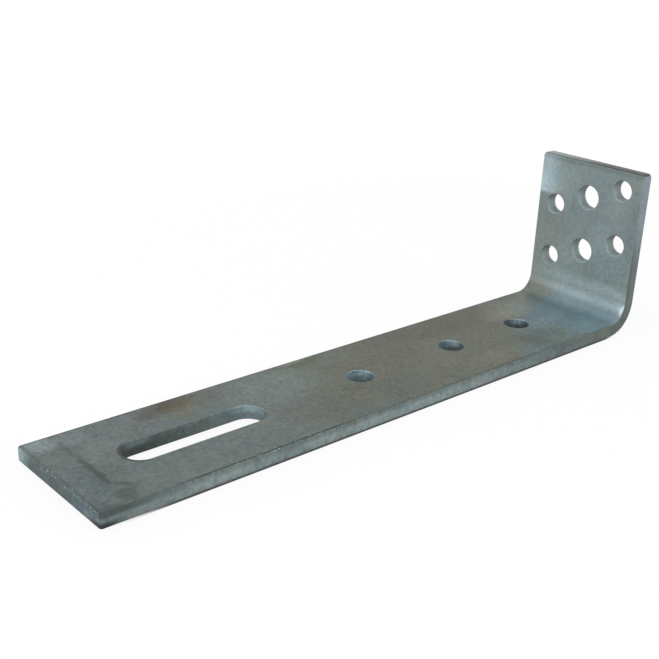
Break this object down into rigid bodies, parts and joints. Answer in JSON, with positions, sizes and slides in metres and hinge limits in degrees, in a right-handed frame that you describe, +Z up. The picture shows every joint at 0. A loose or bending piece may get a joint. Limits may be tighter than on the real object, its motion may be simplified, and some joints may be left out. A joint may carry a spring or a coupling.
{
  "type": "wall plate anchor",
  "caption": "Flat steel bar bent square near one end, with a slot and round holes along the leg and more through the short upstand, for tying a timber wall plate to masonry.",
  "frame": {"origin": "under the middle of the part's box, on the plane of the leg's underside", "axes": "+X along the leg to the upstand, +Y across the bar, +Z up the upstand"},
  "size_m": [0.3, 0.06, 0.08],
  "materials": {
    "galvanised_steel": "dull, cloudy zinc coat"
  },
  "bodies": {
    "root": {"bent_anchor_strip": "galvanised_steel"}
  },
  "joints": []
}
